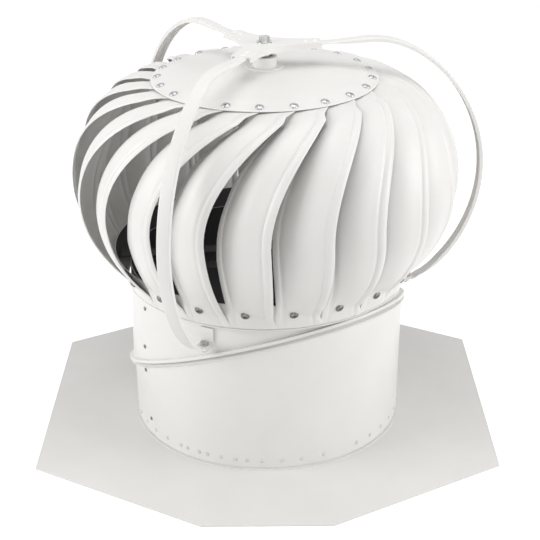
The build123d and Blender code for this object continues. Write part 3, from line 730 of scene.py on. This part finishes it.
def build_neck_rivets():
    gap = 360 + NECK_RIVETS[0] - NECK_RIVETS[-1]
    behind = [NECK_RIVETS[-1] + gap * k / (NECK_RIVETS_BEHIND + 1) for k in range(1, NECK_RIVETS_BEHIND + 1)]
    seats = [(polar(COLLAR_RADIUS + NECK_RIVET_LIFT, azimuth, NECK_RIVET_HEIGHT), polar(1, azimuth, 0))
             for azimuth in list(NECK_RIVETS) + behind]
    build_heads("neck_rivet_heads", "neck_rivets", seats, SMALL_RIVET_DIAMETER, SMALL_RIVET_HEIGHT,
                rivet_paint, "base")


def build_seam_rivets(node, body, heights, wall):
    seats = [(polar(wall(SEAM_AZIMUTH, height) + LAP_PROUD, SEAM_AZIMUTH, height), polar(1, SEAM_AZIMUTH, 0))
             for height in heights]
    build_heads(f"{node}_heads", node, seats, SMALL_RIVET_DIAMETER, SEAM_RIVET_HEIGHT,
                reflection_shade_metal, body)


def build_lap(name, body, wall, low, high):
    """The edge of the sheet where a collar overlaps itself, standing just proud."""
    half = math.degrees(LAP_WIDTH / 2 / COLLAR_RADIUS)
    section = ((-1, LAP_SUNK), (-1, LAP_PROUD * 0.8), (-0.96, LAP_PROUD), (-0.5, LAP_PROUD), (0, LAP_PROUD),
               (0.6, LAP_PROUD * 0.7), (1, 0.02), (1, LAP_SUNK))
    rows = 24
    points = []
    for height in np.linspace(low, high, rows):
        fade = min((high - height) / LAP_FADE, 1)
        for share, lift in section:
            azimuth = SEAM_AZIMUTH + half * share
            points.append(polar(wall(azimuth, height) + min(lift * fade, lift), azimuth, height))
    add_piece(name, points, grid_faces(rows, len(section)), [tube_paint_and_shade], body)


# ---- build -----------------------------------------------------------------------------------------------
for vane_number in range(VANE_COUNT):
    build_vane(vane_number)
for brace_number in range(3):
    build_brace(brace_number + 1, BRACE_AZIMUTH + 120 * brace_number)
build_cap()
build_vane_rivets()
build_neck_rivets()
build_seam_rivets("lower_seam_rivets", "base", LOWER_SEAM_RIVETS, lower_wall)
build_seam_rivets("upper_seam_rivets", "throat", UPPER_SEAM_RIVETS, upper_wall)
build_lap("lower_lap", "base", lower_wall, LAP_LOW, LAP_HIGH)

dress("flashing_plate", white_paint, 0.25)
dress("neck_ring", tube_paint_and_shade)
dress("lower_collar", tube_paint_and_shade)
dress("upper_collar", tube_paint_and_shade)
dress("bottom_ring", tube_paint_and_shade)
dress("hub_plate", white_paint, 0.5)
for brace_number in range(1, 4):
    dress(f"brace_bracket_{brace_number}", white_paint, 0.25)
for node in ("bracket_bolts", "bracket_nuts", "spindle_lower_nut"):
    dress(node, zinc, 0.3)
for node in ("spindle_top_nut", "spindle_top_washer", "upper_spacer", "spindle"):
    dress(node, bright_zinc, 0.15)
for node in ("spindle_lower_washer", "upper_thrust_collar", "lower_thrust_collar"):
    dress(node, zinc, 0.15)
for node in ("throat_spider", "rotor_spider"):
    dress(node, dull_steel, 0.25)
dress("upper_bearing_housing", white_paint, 0.25)
dress("lower_bearing_housing", zinc, 0.25)
for node in ("upper_bearing_inner_ring", "upper_bearing_outer_ring", "lower_bearing_inner_ring",
             "lower_bearing_outer_ring"):
    dress(node, steel, 0.15)
dress("brace_rivets", white_paint, 0.2)


# ---- stage -----------------------------------------------------------------------------------------------
def build_floor():
    mesh = bpy.data.meshes.new("floor")
    corners = [(x * FLOOR_REACH, y * FLOOR_REACH, 0) for x, y in ((-1, -1), (1, -1), (1, 1), (-1, 1))]
    mesh.from_pydata(corners, [], [(0, 1, 2, 3)])
    floor = bpy.data.objects.new("floor", mesh)
    floor.location.z = -FLOOR_DROP
    bpy.context.scene.collection.objects.link(floor)
    material, nodes, links = new_material("floor_white")
    nodes.remove(nodes["Principled BSDF"])
    diffuse = nodes.new("ShaderNodeBsdfDiffuse")
    diffuse.inputs["Color"].default_value = (0.86, 0.86, 0.86, 1)
    glow = nodes.new("ShaderNodeEmission")
    rays = nodes.new("ShaderNodeLightPath")
    seen = nodes.new("ShaderNodeMath")
    seen.operation = "MAXIMUM"
    links.new(rays.outputs["Is Camera Ray"], seen.inputs[0])
    links.new(rays.outputs["Is Glossy Ray"], seen.inputs[1])
    level = nodes.new("ShaderNodeMath")
    level.operation = "MULTIPLY"
    level.inputs[1].default_value = FLOOR_GLOW
    links.new(seen.outputs["Value"], level.inputs[0])
    links.new(level.outputs["Value"], glow.inputs["Strength"])
    total = nodes.new("ShaderNodeAddShader")
    links.new(diffuse.outputs["BSDF"], total.inputs[0])
    links.new(glow.outputs["Emission"], total.inputs[1])
    links.new(total.outputs["Shader"], nodes["Material Output"].inputs["Surface"])
    mesh.materials.append(material)


def build_world():
    world = bpy.data.worlds.new("studio")
    bpy.context.scene.world = world
    world.use_nodes = True
    nodes = world.node_tree.nodes
    links = world.node_tree.links
    lit = nodes["Background"]
    lit.inputs["Color"].default_value = (1, 1, 1, 1)
    lit.inputs["Strength"].default_value = WORLD_LIGHT
    shown = nodes.new("ShaderNodeBackground")
    shown.inputs["Color"].default_value = (1, 1, 1, 1)
    shown.inputs["Strength"].default_value = 1.0
    rays = nodes.new("ShaderNodeLightPath")
    seen = nodes.new("ShaderNodeMath")
    seen.operation = "MAXIMUM"
    links.new(rays.outputs["Is Camera Ray"], seen.inputs[0])
    through = nodes.new("ShaderNodeMath")
    through.operation = "MAXIMUM"
    links.new(rays.outputs["Is Glossy Ray"], through.inputs[0])
    links.new(rays.outputs["Is Transmission Ray"], through.inputs[1])
    links.new(through.outputs["Value"], seen.inputs[1])
    mix = nodes.new("ShaderNodeMixShader")
    links.new(seen.outputs["Value"], mix.inputs["Fac"])
    links.new(lit.outputs["Background"], mix.inputs[1])
    links.new(shown.outputs["Background"], mix.inputs[2])
    links.new(mix.outputs["Shader"], nodes["World Output"].inputs["Surface"])


def build_softbox(name, azimuth, elevation, distance, size, power):
    """A square softbox that looks at the middle of the object."""
    lamp = bpy.data.lights.new(name, "AREA")
    lamp.shape = "SQUARE"
    lamp.size = size
    lamp.energy = power
    box = bpy.data.objects.new(name, lamp)
    bpy.context.scene.collection.objects.link(box)
    level = math.cos(math.radians(elevation))
    turn = math.radians(azimuth)
    away = Vector((level * math.sin(turn), -level * math.cos(turn), math.sin(math.radians(elevation))))
    box.location = Vector(STUDIO_CENTRE) + away * distance
    box.rotation_euler = away.to_track_quat("Z", "Y").to_euler()


def build_camera():
    lens = bpy.data.cameras.new("camera")
    lens.lens = CAMERA_LENS
    lens.sensor_width = CAMERA_SENSOR
    lens.sensor_fit = "HORIZONTAL"
    lens.clip_start = 0.05
    camera = bpy.data.objects.new("camera", lens)
    bpy.context.scene.collection.objects.link(camera)
    down = math.radians(CAMERA_DOWN)
    roll = math.radians(CAMERA_ROLL)
    right = Vector((1, 0, 0))
    up = Vector((0, math.sin(down), math.cos(down)))
    ahead = Vector((0, math.cos(down), -math.sin(down)))
    turned_right = right * math.cos(roll) + up * math.sin(roll)
    turned_up = up * math.cos(roll) - right * math.sin(roll)
    facing = Matrix((turned_right, turned_up, -ahead)).transposed().to_4x4()
    camera.matrix_world = Matrix.Translation(CAMERA_PLACE) @ facing
    bpy.context.scene.camera = camera


build_floor()
build_world()
for settings in SOFTBOXES:
    build_softbox(*settings)
build_camera()
bpy.context.scene.view_settings.view_transform = "Standard"
